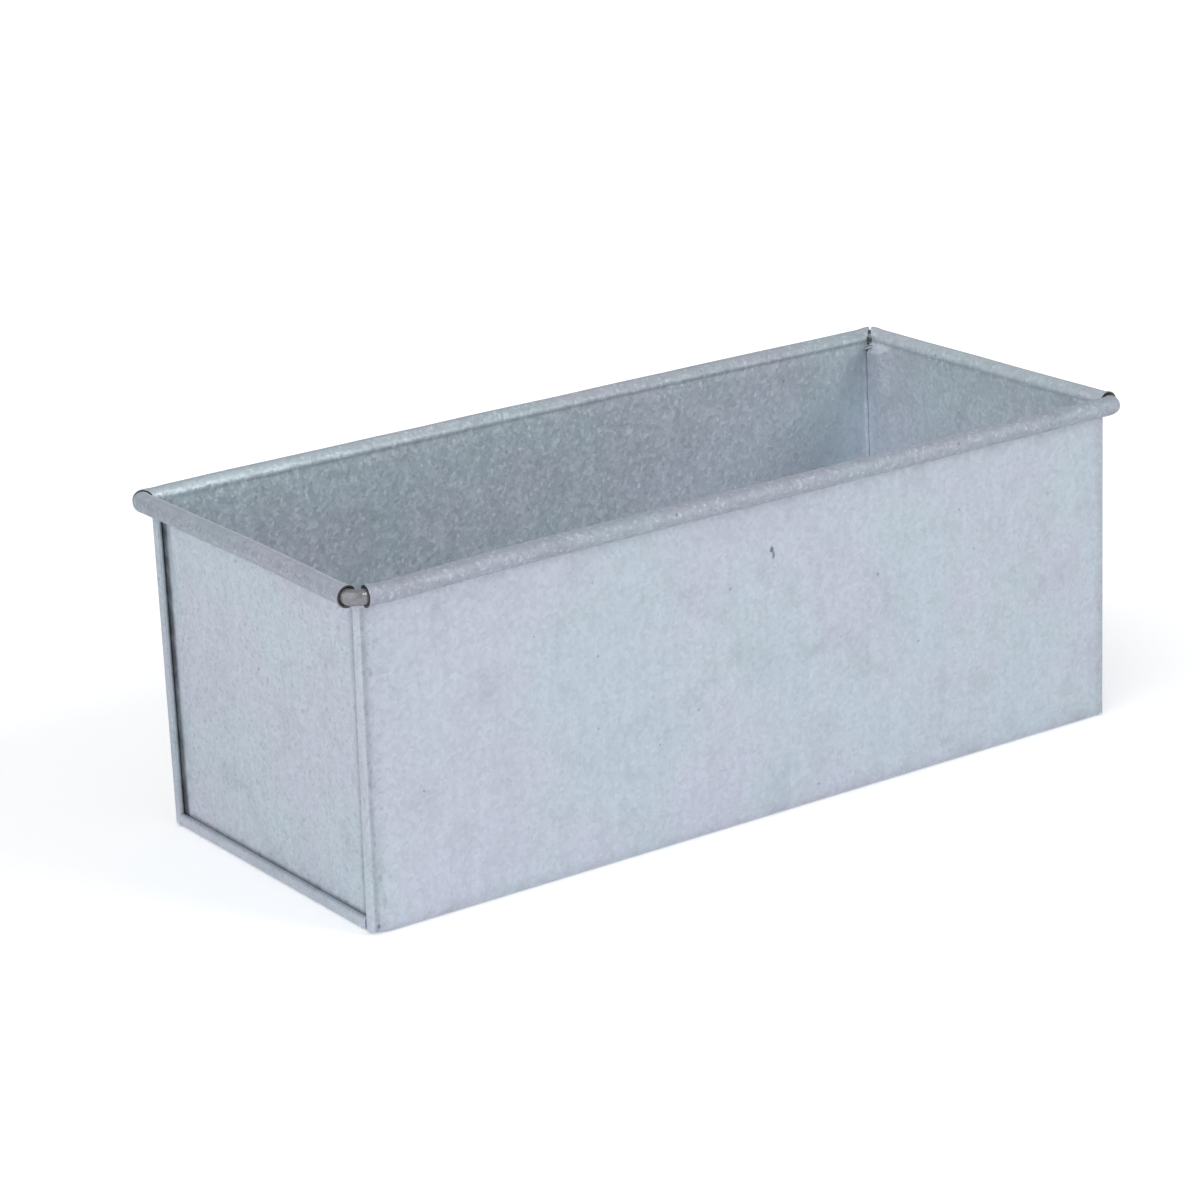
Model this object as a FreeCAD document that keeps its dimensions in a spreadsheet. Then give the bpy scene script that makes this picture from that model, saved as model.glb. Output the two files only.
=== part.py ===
"""Straight-sided loaf pan folded from galvanised sheet, with a wired rim. Millimetres, +Z up.

Origin: middle of the underside. The pan's length runs along X and its width along Y.

One U-shaped wrapper sheet makes the floor and both long walls. Two end panels close it: their side
and bottom edges are folded back into hems at the wrapper's ends, and each seam lies flat on the end.
All four top edges are curled outwards round one rim wire, which is bare at the four corners.
"""

import FreeCAD, Part
import math
import os
import Sketcher

DRIVING_SIZES = {
    "span_length": 258.0,    # outside length, over the end seams
    "span_width": 110.0,     # outside width, over the long walls
    "span_height": 100.0,    # underside to the top of the rim
    "sheet_thick": 0.55,     # galvanised sheet
    "wire_dia": 4.5,         # rim wire
    "layer_gap": 0.05,       # clearance between folded layers, and round the wire
    "seam_width": 4.0,       # width of the flattened seams on the ends
    "floor_bend": 2.0,       # outside radius between the floor and the long walls
    "tab_slit": 0.4,         # slit between an upright seam and the floor seam
    "hem_lift": 0.1,         # lower end of the upright hems, above the floor's inside
    "seam_drop": 0.8,        # upper end of the upright seams, below the curl
    "curl_tuck": 1.4,        # how far the curl's free edge passes the wire's lowest line
    "curl_setback": 3.9,     # from the corner of the wire's axis back to a curl's end
    "wire_bend": 3.5,        # radius of the wire's axis at the corners
    "wire_butt": 0.3,        # gap between the wire's two ends
}

DERIVED_SIZES = {
    "half_length": "=span_length / 2",
    "half_width": "=span_width / 2",
    "fold_inner": "=sheet_thick / 2 + layer_gap",
    "fold_outer": "=fold_inner + sheet_thick",
    "corner_inner": "=fold_outer + layer_gap",
    "corner_outer": "=corner_inner + sheet_thick",
    "seam_thick": "=3 * (sheet_thick + layer_gap)",
    "panel_edge": "=sheet_thick + layer_gap + fold_outer",
    "fold_line": "=seam_width - fold_outer",
    "curl_inner": "=wire_dia / 2 + layer_gap",
    "curl_outer": "=curl_inner + sheet_thick",
    "wire_height": "=span_height - curl_outer",
    "wire_half_length": "=half_length - sheet_thick + curl_outer",
    "wire_half_width": "=half_width - sheet_thick + curl_outer",
    "seam_top": "=span_height - 2 * curl_outer - seam_drop",
    "hem_foot": "=sheet_thick + hem_lift",
    "flange_foot": "=floor_bend + layer_gap",
    "wire_butt_half": "=wire_butt / 2",
}

START, END, CENTRE = 1, 2, 3     # a sketch edge's points
ORIGIN = (-1, 1)                 # the sketch's own origin, as a point
LEFT, RIGHT = 1, -1              # the way an arc turns along an outline


class Size:
    """A size held both as a number and as the expression that gives it from the sheet."""

    def __init__(self, text, number):
        self.text = text
        self.number = number

    def __add__(self, other):
        return Size(f"({self.text} + {other.text})", self.number + other.number)

    def __sub__(self, other):
        return Size(f"({self.text} - {other.text})", self.number - other.number)

    def __neg__(self):
        return Size(f"(-{self.text})", -self.number)

    def twice(self):
        return Size(f"(2 * {self.text})", 2 * self.number)


NOTHING = Size("0", 0.0)


class Sizes:
    """The spreadsheet. Reading one of its aliases as an attribute gives a Size."""

    def __init__(self, doc):
        self.sheet = doc.addObject("Spreadsheet::Sheet", "sizes")
        rows = list(DRIVING_SIZES.items()) + list(DERIVED_SIZES.items())
        for row, (alias, content) in enumerate(rows, start=1):
            self.sheet.set(f"A{row}", alias)
            self.sheet.set(f"B{row}", str(content))
            self.sheet.setAlias(f"B{row}", alias)
        doc.recompute()

    def __getattr__(self, alias):
        return Size(f"sizes.{alias}", float(self.sheet.get(alias)))


# ---------------------------------------------------------------- sketching

def origin_plane(body, name):
    """One of the body's own origin planes: XY, XZ or YZ."""
    return next(item for item in body.Origin.OriginFeatures if item.Role == f"{name}_Plane")


def new_sketch(body, name, plane, offset=None):
    """A sketch on an origin plane, moved along the plane's normal by offset."""
    sketch = body.newObject("Sketcher::SketchObject", name)
    sketch.AttachmentSupport = [(origin_plane(body, plane), "")]
    sketch.MapMode = "FlatFace"
    if offset is not None:
        sketch.setExpression("AttachmentOffset.Base.z", offset.text)
    return sketch


def dimension(sketch, kind, refs, size):
    """Add a driving dimension and bind it to the sheet."""
    index = sketch.addConstraint(Sketcher.Constraint(kind, *refs, size.number))
    sketch.setExpression(f"Constraints[{index}]", size.text)


def place_point(sketch, point, x, y):
    """Hold one point of the sketch at (x, y)."""
    dimension(sketch, "DistanceX", (*ORIGIN, *point), x)
    dimension(sketch, "DistanceY", (*ORIGIN, *point), y)


def arc_between(start, end, radius, turn):
    """The arc of at most half a turn that leads from start to end, turning left or right."""
    chord = end - start
    rise = math.sqrt(max(radius ** 2 - (chord.Length / 2) ** 2, 0.0))
    across = FreeCAD.Vector(-chord.y, chord.x, 0).normalize() * turn
    centre = start + chord * 0.5 + across * rise
    first, last = (start, end) if turn == LEFT else (end, start)
    circle = Part.Circle(centre, FreeCAD.Vector(0, 0, 1), radius)
    return Part.ArcOfCircle(circle, circle.parameter(first), circle.parameter(last))


def draw_route(sketch, corners, edge_count):
    """Draw edges from corner to corner with every corner dimensioned. A corner is (x, y) before a
    straight edge, (x, y, turn, radius) before a bend, and (x, y, turn) before a fold of half a turn.
    Returns each edge's first and last point."""
    points = [FreeCAD.Vector(corner[0].number, corner[1].number, 0) for corner in corners]
    ends = []
    for edge in range(edge_count):
        corner = corners[edge]
        start, end = points[edge], points[(edge + 1) % len(points)]
        if len(corner) == 2:
            sketch.addGeometry(Part.LineSegment(start, end), False)
            ends.append((START, END))
            continue
        radius = corner[3].number if len(corner) == 4 else (end - start).Length / 2
        sketch.addGeometry(arc_between(start, end, radius, corner[2]), False)
        ends.append((START, END) if corner[2] == LEFT else (END, START))
    for edge in range(edge_count):
        corner = corners[edge]
        place_point(sketch, (edge, ends[edge][0]), corner[0], corner[1])
        if len(corner) == 4:
            dimension(sketch, "Radius", (edge,), corner[3])
        if len(corner) == 3:
            level = (edge, CENTRE, edge, ends[edge][0])
            sketch.addConstraint(Sketcher.Constraint("Horizontal", *level))
    return ends


def join_edges(sketch, ends, edge, after):
    """The end of one edge is the start of another."""
    sketch.addConstraint(Sketcher.Constraint("Coincident", edge, ends[edge][1], after, ends[after][0]))


def closed_outline(sketch, corners):
    """An outline that returns to its first corner."""
    ends = draw_route(sketch, corners, len(corners))
    for edge in range(len(corners)):
        join_edges(sketch, ends, edge, (edge + 1) % len(corners))


def open_route(sketch, corners):
    """A route that stops at its last corner."""
    last = len(corners) - 1
    ends = draw_route(sketch, corners, last)
    for edge in range(last - 1):
        join_edges(sketch, ends, edge, edge + 1)
    place_point(sketch, (last - 1, ends[last - 1][1]), corners[last][0], corners[last][1])


# ---------------------------------------------------------------- features

def pad(body, sketch, name, length, both_ways=False):
    """Extrude a sketch along its normal, or to both sides of its plane."""
    feature = body.newObject("PartDesign::Pad", name)
    feature.Profile = sketch
    feature.Midplane = both_ways
    feature.setExpression("Length", length.text)
    body.Document.recompute()
    return feature


def mirror(body, features, name, plane):
    """Repeat features on the other side of an origin plane."""
    mirrored = body.newObject("PartDesign::Mirrored", name)
    mirrored.Originals = features
    mirrored.MirrorPlane = (origin_plane(body, plane), [""])
    body.Tip = mirrored
    body.Document.recompute()


def mirror_to_all_corners(body, feature, name):
    """Repeat one corner's feature at all four corners."""
    across = body.newObject("PartDesign::Mirrored", f"{name}_across")
    along = body.newObject("PartDesign::Mirrored", f"{name}_along")
    across.MirrorPlane = (origin_plane(body, "XZ"), [""])
    along.MirrorPlane = (origin_plane(body, "YZ"), [""])
    repeated = body.newObject("PartDesign::MultiTransform", name)
    repeated.Originals = [feature]
    repeated.Transformations = [across, along]
    body.Tip = repeated
    body.Document.recompute()


def new_body(doc, label):
    """An empty body whose label names its file."""
    body = doc.addObject("PartDesign::Body", label)
    body.Label = label
    return body


# ---------------------------------------------------------------- the folded seams

def hem_outline(sizes, place):
    """The wrapper's hem. It turns the corner, runs out over the end, and folds back behind the end
    panel's flange. place(depth, rise, ...) puts a corner at its depth in from the face of the end
    seam and its rise in from the face of the wall or floor that the hem belongs to."""
    tuck_depth = sizes.fold_outer.twice()
    tuck_end = sizes.panel_edge + sizes.layer_gap
    return [
        place(sizes.corner_outer, NOTHING, RIGHT, sizes.corner_outer),
        place(NOTHING, sizes.corner_outer),
        place(NOTHING, sizes.fold_line, RIGHT),
        place(tuck_depth, sizes.fold_line),
        place(tuck_depth, tuck_end),
        place(tuck_depth - sizes.sheet_thick, tuck_end),
        place(tuck_depth - sizes.sheet_thick, sizes.fold_line, LEFT),
        place(sizes.sheet_thick, sizes.fold_line),
        place(sizes.sheet_thick, sizes.corner_outer, LEFT, sizes.corner_inner),
        place(sizes.corner_outer, sizes.sheet_thick),
    ]


def flange_outline(sizes, place):
    """The end panel's edge, folded back outwards into a flange that lies inside the wrapper's hem."""
    outside = sizes.sheet_thick + sizes.layer_gap
    inside = outside + sizes.sheet_thick
    return [
        place(sizes.seam_thick + sizes.sheet_thick, sizes.panel_edge, RIGHT),
        place(outside, sizes.panel_edge),
        place(outside, sizes.fold_line),
        place(inside, sizes.fold_line),
        place(inside, sizes.panel_edge, LEFT),
        place(sizes.seam_thick, sizes.panel_edge),
    ]


def in_plan(sizes):
    """Seam places at an upright corner, seen from above."""
    return lambda depth, rise, *arc: (depth - sizes.half_length, rise - sizes.half_width, *arc)


def in_side_view(sizes):
    """Seam places along the floor's end, seen from the long side."""
    return lambda depth, rise, *arc: (depth - sizes.half_length, rise, *arc)


def floor_seam_length(sizes):
    """The floor seam fits between the two upright seams."""
    return (sizes.half_width - sizes.seam_width - sizes.tab_slit).twice()


# ---------------------------------------------------------------- the curled rim

def curl_arcs(sketch, sizes, axis_x, wall_angle):
    """The curl's inside and outside arcs round the wire, from the wall over the top to the free edge,
    and the cut edge that joins their free ends. wall_angle is where the wall meets the curl."""
    axis = FreeCAD.Vector(axis_x.number, sizes.wire_height.number, 0)
    lap = math.asin(sizes.curl_tuck.number / sizes.curl_outer.number)
    free_angle = 1.5 * math.pi + lap
    for radius in (sizes.curl_inner, sizes.curl_outer):
        circle = Part.Circle(axis, FreeCAD.Vector(0, 0, 1), radius.number)
        arc = sketch.addGeometry(Part.ArcOfCircle(circle, wall_angle, free_angle), False)
        dimension(sketch, "Radius", (arc,), radius)
    inside, outside = arc - 1, arc
    free_ends = [sketch.Geometry[edge].EndPoint for edge in (inside, outside)]
    cut = sketch.addGeometry(Part.LineSegment(*free_ends), False)
    sketch.addConstraint(Sketcher.Constraint("Coincident", inside, CENTRE, outside, CENTRE))
    place_point(sketch, (inside, CENTRE), axis_x, sizes.wire_height)
    sketch.addConstraint(Sketcher.Constraint("Coincident", inside, END, cut, START))
    sketch.addConstraint(Sketcher.Constraint("Coincident", outside, END, cut, END))
    sketch.addConstraint(Sketcher.Constraint("PointOnObject", inside, CENTRE, cut))
    dimension(sketch, "DistanceX", (inside, CENTRE, cut, END), sizes.curl_tuck)
    return inside, outside


def line_between(sketch, start, end):
    """Add one straight edge."""
    return sketch.addGeometry(Part.LineSegment(start, end), False)


def long_wall_curl(sketch, sizes):
    """Section of a long wall's top: straight up into the curl, inner face flush with its inside."""
    inside, outside = curl_arcs(sketch, sizes, -sizes.wire_half_width, 0.0)
    foot = sizes.seam_top - sizes.sheet_thick
    outer_face = -sizes.half_width
    inner_face = sizes.sheet_thick - sizes.half_width
    outer_foot = FreeCAD.Vector(outer_face.number, foot.number, 0)
    inner_foot = FreeCAD.Vector(inner_face.number, foot.number, 0)
    outer = line_between(sketch, outer_foot, sketch.Geometry[inside].StartPoint)
    inner = line_between(sketch, inner_foot, sketch.Geometry[outside].StartPoint)
    base = line_between(sketch, outer_foot, inner_foot)
    for wall, arc, base_end in ((outer, inside, START), (inner, outside, END)):
        sketch.addConstraint(Sketcher.Constraint("Coincident", wall, END, arc, START))
        sketch.addConstraint(Sketcher.Constraint("Coincident", wall, START, base, base_end))
        sketch.addConstraint(Sketcher.Constraint("Horizontal", arc, CENTRE, arc, START))
    place_point(sketch, (base, START), outer_face, foot)
    place_point(sketch, (base, END), inner_face, foot)


def end_panel_curl(sketch, sizes):
    """Section of an end panel's top. Above the seams the sheet leans outwards by their thickness,
    and runs straight on into the curl."""
    foot = sizes.seam_top - sizes.sheet_thick
    outer_face = sizes.seam_thick - sizes.half_length
    inner_face = outer_face + sizes.sheet_thick
    axis_x = -sizes.wire_half_length
    across = inner_face.number - axis_x.number
    down = sizes.seam_top.number - sizes.wire_height.number
    lean = math.atan2(down, across) + math.acos(sizes.curl_outer.number / math.hypot(across, down))
    inside, outside = curl_arcs(sketch, sizes, axis_x, lean)
    top_inside = sketch.Geometry[inside].StartPoint
    top_outside = sketch.Geometry[outside].StartPoint
    outer_bend_rise = (top_inside.x - outer_face.number) / math.tan(lean)
    outer_foot = FreeCAD.Vector(outer_face.number, foot.number, 0)
    inner_foot = FreeCAD.Vector(inner_face.number, foot.number, 0)
    outer_bend = FreeCAD.Vector(outer_face.number, top_inside.y + outer_bend_rise, 0)
    inner_bend = FreeCAD.Vector(inner_face.number, sizes.seam_top.number, 0)
    outer = line_between(sketch, outer_foot, outer_bend)
    outer_lean = line_between(sketch, outer_bend, top_inside)
    inner = line_between(sketch, inner_foot, inner_bend)
    inner_lean = line_between(sketch, inner_bend, top_outside)
    base = line_between(sketch, outer_foot, inner_foot)
    for wall, leaning, arc, base_end in ((outer, outer_lean, inside, START), (inner, inner_lean, outside, END)):
        sketch.addConstraint(Sketcher.Constraint("Coincident", wall, START, base, base_end))
        sketch.addConstraint(Sketcher.Constraint("Coincident", wall, END, leaning, START))
        sketch.addConstraint(Sketcher.Constraint("Tangent", leaning, END, arc, START))
    sketch.addConstraint(Sketcher.Constraint("Parallel", outer_lean, inner_lean))
    sketch.addConstraint(Sketcher.Constraint("Vertical", outer))
    place_point(sketch, (base, START), outer_face, foot)
    place_point(sketch, (base, END), inner_face, foot)
    place_point(sketch, (inner, END), inner_face, sizes.seam_top)


# ---------------------------------------------------------------- the pieces

def wrapper_tray(body, sizes):
    """The wrapper's floor and long walls, up to the height where the upright seams end."""
    wall_out, wall_in = sizes.half_width, sizes.half_width - sizes.sheet_thick
    flat = sizes.half_width - sizes.floor_bend
    bend_in = sizes.floor_bend - sizes.sheet_thick
    section = new_sketch(body, "tray_section", "YZ")
    closed_outline(section, [
        (-wall_out, sizes.seam_top),
        (-wall_out, sizes.floor_bend, LEFT, sizes.floor_bend),
        (-flat, NOTHING),
        (flat, NOTHING, LEFT, sizes.floor_bend),
        (wall_out, sizes.floor_bend),
        (wall_out, sizes.seam_top),
        (wall_in, sizes.seam_top),
        (wall_in, sizes.floor_bend, RIGHT, bend_in),
        (flat, sizes.sheet_thick),
        (-flat, sizes.sheet_thick, RIGHT, bend_in),
        (-wall_in, sizes.floor_bend),
        (-wall_in, sizes.seam_top),
    ])
    pad(body, section, "tray", (sizes.half_length - sizes.corner_outer).twice(), both_ways=True)


def wrapper_sheet(doc, sizes):
    """Floor, long walls, long rims and all six hems, in one piece of sheet."""
    body = new_body(doc, "wrapper_sheet")
    wrapper_tray(body, sizes)

    rim_section = new_sketch(body, "rim_section", "YZ")
    long_wall_curl(rim_section, sizes)
    rim_length = (sizes.wire_half_length - sizes.curl_setback).twice()
    rim = pad(body, rim_section, "rim_curl", rim_length, both_ways=True)
    mirror(body, [rim], "rim_curls", "XZ")

    floor_section = new_sketch(body, "floor_hem_section", "XZ")
    closed_outline(floor_section, hem_outline(sizes, in_side_view(sizes)))
    floor_hem = pad(body, floor_section, "floor_hem", floor_seam_length(sizes), both_ways=True)
    mirror(body, [floor_hem], "floor_hems", "YZ")

    upright_section = new_sketch(body, "upright_hem_section", "XY", sizes.hem_foot)
    closed_outline(upright_section, hem_outline(sizes, in_plan(sizes)))
    upright = pad(body, upright_section, "upright_hem", sizes.seam_top - sizes.hem_foot)
    mirror_to_all_corners(body, upright, "upright_hems")
    return body


def end_panel(doc, sizes, label, turn):
    """One end sheet with its three flanges and its curl, made at the left end and turned into place."""
    body = new_body(doc, label)
    body.Placement = FreeCAD.Placement(FreeCAD.Vector(0, 0, 0), FreeCAD.Rotation(FreeCAD.Vector(0, 0, 1), turn))

    side = sizes.half_width - sizes.panel_edge
    outline = new_sketch(body, "panel_outline", "YZ", sizes.seam_thick - sizes.half_length)
    closed_outline(outline, [
        (-side, sizes.panel_edge),
        (side, sizes.panel_edge),
        (side, sizes.seam_top),
        (-side, sizes.seam_top),
    ])
    pad(body, outline, "panel", sizes.sheet_thick)

    rim_section = new_sketch(body, "rim_section", "XZ")
    end_panel_curl(rim_section, sizes)
    rim_length = (sizes.wire_half_width - sizes.curl_setback).twice()
    pad(body, rim_section, "rim_curl", rim_length, both_ways=True)

    floor_section = new_sketch(body, "floor_flange_section", "XZ")
    closed_outline(floor_section, flange_outline(sizes, in_side_view(sizes)))
    pad(body, floor_section, "floor_flange", floor_seam_length(sizes), both_ways=True)

    upright_section = new_sketch(body, "upright_flange_section", "XY", sizes.flange_foot)
    closed_outline(upright_section, flange_outline(sizes, in_plan(sizes)))
    upright = pad(body, upright_section, "upright_flange", sizes.seam_top - sizes.flange_foot)
    mirror(body, [upright], "upright_flanges", "XZ")
    return body


def rim_wire(doc, sizes):
    """The wire inside the curls: half of it swept round two corners, then mirrored. Its two ends
    meet inside the curl of the +Y wall."""
    body = new_body(doc, "rim_wire")
    start_x = sizes.wire_butt_half
    far_x, side_y, bend = sizes.wire_half_length, sizes.wire_half_width, sizes.wire_bend
    path = new_sketch(body, "wire_path", "XY", sizes.wire_height)
    route = [
        (start_x, side_y),
        (far_x - bend, side_y, RIGHT, bend),
        (far_x, side_y - bend),
        (far_x, bend - side_y, RIGHT, bend),
        (far_x - bend, -side_y),
        (NOTHING, -side_y),
    ]
    open_route(path, route)

    section = new_sketch(body, "wire_section", "YZ", start_x)
    circle = Part.Circle(FreeCAD.Vector(side_y.number, sizes.wire_height.number, 0),
                         FreeCAD.Vector(0, 0, 1), sizes.wire_dia.number / 2)
    section.addGeometry(circle, False)
    place_point(section, (0, CENTRE), side_y, sizes.wire_height)
    dimension(section, "Diameter", (0,), sizes.wire_dia)

    sweep = body.newObject("PartDesign::AdditivePipe", "half_wire")
    sweep.Profile = section
    sweep.Spine = path
    doc.recompute()
    mirror(body, [sweep], "whole_wire", "YZ")
    return body


# ---------------------------------------------------------------- build, check, write

def problems(doc, bodies):
    """Every failed object and every body without a sound solid."""
    found = [f"{item.Name}: {state}" for item in doc.Objects for state in item.State
             if state in ("Invalid", "Error")]
    for body in bodies:
        if body.Shape.isNull() or not body.Shape.isValid() or len(body.Shape.Solids) != 1:
            found.append(f"{body.Label}: not one valid solid")
    return found


def main():
    doc = FreeCAD.newDocument("loaf_pan")
    sizes = Sizes(doc)
    bodies = [
        wrapper_sheet(doc, sizes),
        end_panel(doc, sizes, "end_panel_left", 0),
        end_panel(doc, sizes, "end_panel_right", 180),
        rim_wire(doc, sizes),
    ]
    doc.recompute()
    found = problems(doc, bodies)
    if found:
        raise RuntimeError("; ".join(found))
    os.makedirs("parts", exist_ok=True)
    for body in bodies:
        body.Shape.exportStep(os.path.join("parts", f"{body.Label}.step"))
        box = body.Shape.BoundBox
        print(f"{body.Label}: {body.Shape.Volume:.1f} mm3, {box.XLength:.2f} x {box.YLength:.2f} x {box.ZLength:.2f}")


main()
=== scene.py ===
import math

import bpy
import numpy as np
from mathutils import Matrix, Vector, noise


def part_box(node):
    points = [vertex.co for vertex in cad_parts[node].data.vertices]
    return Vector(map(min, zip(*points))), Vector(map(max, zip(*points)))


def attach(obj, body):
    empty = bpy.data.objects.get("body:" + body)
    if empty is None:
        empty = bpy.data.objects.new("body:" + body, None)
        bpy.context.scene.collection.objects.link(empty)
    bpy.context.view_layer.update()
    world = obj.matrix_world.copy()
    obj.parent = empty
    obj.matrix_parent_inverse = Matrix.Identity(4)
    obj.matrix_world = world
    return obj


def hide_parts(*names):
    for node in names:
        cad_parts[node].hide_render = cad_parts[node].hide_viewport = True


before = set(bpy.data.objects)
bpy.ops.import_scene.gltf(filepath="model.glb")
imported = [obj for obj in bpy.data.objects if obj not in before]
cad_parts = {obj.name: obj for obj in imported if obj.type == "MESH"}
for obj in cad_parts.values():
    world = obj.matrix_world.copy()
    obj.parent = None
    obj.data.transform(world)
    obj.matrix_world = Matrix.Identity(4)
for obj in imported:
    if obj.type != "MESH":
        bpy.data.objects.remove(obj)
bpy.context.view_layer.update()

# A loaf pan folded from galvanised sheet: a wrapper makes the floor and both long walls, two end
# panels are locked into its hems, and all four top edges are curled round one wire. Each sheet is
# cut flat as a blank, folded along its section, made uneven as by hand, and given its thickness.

MM = 0.001

# ---------------------------------------------------------------- sizes

# The sheet, the wire, and how they are folded and joined.
SHEET = 0.55 * MM
LAYER_GAP = 0.05 * MM
SEAM_WIDTH = 4.0 * MM
FLOOR_BEND = 2.0 * MM
TAB_SLIT = 0.08 * MM
HEM_FOOT = 0.65 * MM
FLANGE_FOOT = 2.05 * MM
SEAM_DROP = 0.8 * MM
CURL_TUCK = 1.4 * MM
CURL_SETBACK = 3.9 * MM
WIRE_BEND = 3.5 * MM
WIRE_BUTT = 0.3 * MM
CUT_EDGE_ROUND = 0.07 * MM
TAB_RISE = 1.9 * MM
CREASE_ANGLE = 10.0
CREASE_TURN = math.radians(CREASE_ANGLE)
CURL_WORKED = 10 * MM
GROUND_ZONE = 5 * MM
TOLERANCE = 0.01 * MM

# How finely the outlines and the blanks are ruled.
CURL_STEPS = 38
EASE_STEPS = 10
FOLD_STEPS = 12
BEND_STEPS = 8
WALL_SPACING = 2.6 * MM
FLOOR_SPACING = 3.0 * MM
RUN_SPACING = 2.2 * MM
HEM_SPACING = 0.8 * MM
CURL_END_SPACING = 0.55 * MM
SEAM_END_SPACING = 0.5 * MM
WIRE_SPACING = 0.7 * MM

# What the frame gives.
wire_low, wire_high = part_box("rim_wire")
wrapper_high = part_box("wrapper_sheet")[1]
WIRE_RADIUS = (wire_high.z - wire_low.z) / 2
WIRE_HEIGHT = (wire_high.z + wire_low.z) / 2
WIRE_HALF_LENGTH = wire_high.x - WIRE_RADIUS
WIRE_HALF_WIDTH = wire_high.y - WIRE_RADIUS
HALF_LENGTH = wrapper_high.x
SPAN_HEIGHT = wrapper_high.z

# What follows from those: outer and middle radii, where each seam and curl begins and ends.
HALF_SHEET = SHEET / 2
CURL_OUTER = WIRE_RADIUS + LAYER_GAP + SHEET
CURL_RADIUS = CURL_OUTER - HALF_SHEET
HALF_WIDTH = WIRE_HALF_WIDTH + SHEET - CURL_OUTER
FOLD_OUTER = 1.5 * SHEET + LAYER_GAP
FOLD_RADIUS = FOLD_OUTER - HALF_SHEET
CORNER_OUTER = FOLD_OUTER + LAYER_GAP + SHEET
CORNER_RADIUS = CORNER_OUTER - HALF_SHEET
SEAM_THICK = 3 * (SHEET + LAYER_GAP)
PANEL_EDGE = SHEET + LAYER_GAP + FOLD_OUTER
FOLD_LINE = SEAM_WIDTH - FOLD_OUTER
SEAM_TOP = SPAN_HEIGHT - 2 * CURL_OUTER - SEAM_DROP
LONG_CURL_END = WIRE_HALF_LENGTH - CURL_SETBACK
END_CURL_END = WIRE_HALF_WIDTH - CURL_SETBACK
STRAIGHT_WALL = HALF_LENGTH - CORNER_OUTER
PANEL_HALF = HALF_WIDTH - PANEL_EDGE
FLOOR_SEAM_HALF = HALF_WIDTH - SEAM_WIDTH - TAB_SLIT
FREE_EDGE_ANGLE = 270 + math.degrees(math.asin(CURL_TUCK / CURL_OUTER))
CORNER_TOP = SEAM_TOP + TAB_RISE
LEAN_START = SEAM_TOP - 0.5 * MM
PLATE = HALF_LENGTH - SEAM_THICK - HALF_SHEET


# ---------------------------------------------------------------- outlines

def arc(centre, radius, start, end, steps):
    """Points of an arc between two angles in degrees, both ends included."""
    across, up = centre
    angles = np.radians(np.linspace(start, end, steps + 1))
    return [(across + radius * math.cos(angle), up + radius * math.sin(angle)) for angle in angles]


def run(start, end, spacing):
    """Points of a straight run at about the given spacing, both ends included."""
    count = max(1, round(math.dist(start, end) / spacing))
    start, end = np.array(start), np.array(end)
    return [tuple(start + (end - start) * step / count) for step in range(count + 1)]


def eased(start, start_way, end, end_way, steps):
    """Points of a smooth run that leaves start and reaches end along the given ways."""
    start, start_way, end, end_way = (np.array(item) for item in (start, start_way, end, end_way))
    handles = [start, start + start_way, end - end_way, end]
    points = []
    for part in np.linspace(0.0, 1.0, steps + 1):
        weights = [math.comb(3, item) * part ** item * (1 - part) ** (3 - item) for item in range(4)]
        points.append(tuple(sum(weight * handle for weight, handle in zip(weights, handles))))
    return points


def joined(*stretches):
    """One outline from stretches that meet end to start."""
    outline = list(stretches[0])
    for stretch in stretches[1:]:
        outline.extend(stretch[1:])
    return outline


def rulings(outline):
    """How far along the outline each of its points is."""
    steps = [math.dist(first, second) for first, second in zip(outline, outline[1:])]
    return np.concatenate([[0.0], np.cumsum(steps)])


def wrapper_section():
    """The wrapper from one curl's free edge, down a wall, over the floor and up to the other."""
    wall = HALF_WIDTH - HALF_SHEET
    flat = HALF_WIDTH - FLOOR_BEND
    axis = (-WIRE_HALF_WIDTH, WIRE_HEIGHT)
    curl = arc(axis, CURL_RADIUS, FREE_EDGE_ANGLE, -CREASE_ANGLE, CURL_STEPS)
    off_curl = (-0.9 * MM * math.sin(CREASE_TURN), -0.9 * MM * math.cos(CREASE_TURN))
    onto_wall = (0.0, -1.2 * MM)
    half = joined(
        curl,
        eased(curl[-1], off_curl, (-wall, LEAN_START), onto_wall, EASE_STEPS),
        run((-wall, LEAN_START), (-wall, SEAM_TOP - MM), MM),
        run((-wall, SEAM_TOP - MM), (-wall, FLANGE_FOOT), WALL_SPACING),
        run((-wall, FLANGE_FOOT), (-wall, FLOOR_BEND), MM),
        arc((-flat, FLOOR_BEND), FLOOR_BEND - HALF_SHEET, 180, 270, BEND_STEPS),
        run((-flat, HALF_SHEET), (-FLOOR_SEAM_HALF, HALF_SHEET), 1.2 * MM),
        run((-FLOOR_SEAM_HALF, HALF_SHEET), (0.0, HALF_SHEET), FLOOR_SPACING),
    )
    return joined(half, [(-y, z) for y, z in reversed(half)])


def wrapper_hem():
    """The wrapper's hem beyond the straight wall: how far out, and how far over the end."""
    over = CORNER_OUTER - HALF_SHEET
    under = over - 2 * FOLD_RADIUS
    fold_start = FOLD_LINE - HALF_SHEET
    tuck_end = PANEL_EDGE + LAYER_GAP - HALF_SHEET
    return joined(
        arc((0.0, CORNER_RADIUS), CORNER_RADIUS, -90, 0, BEND_STEPS),
        run((over, CORNER_RADIUS), (over, fold_start), HEM_SPACING),
        arc((CORNER_OUTER - FOLD_OUTER, fold_start), FOLD_RADIUS, 0, 180, FOLD_STEPS),
        run((under, fold_start), (under, tuck_end), HEM_SPACING),
    )


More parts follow.
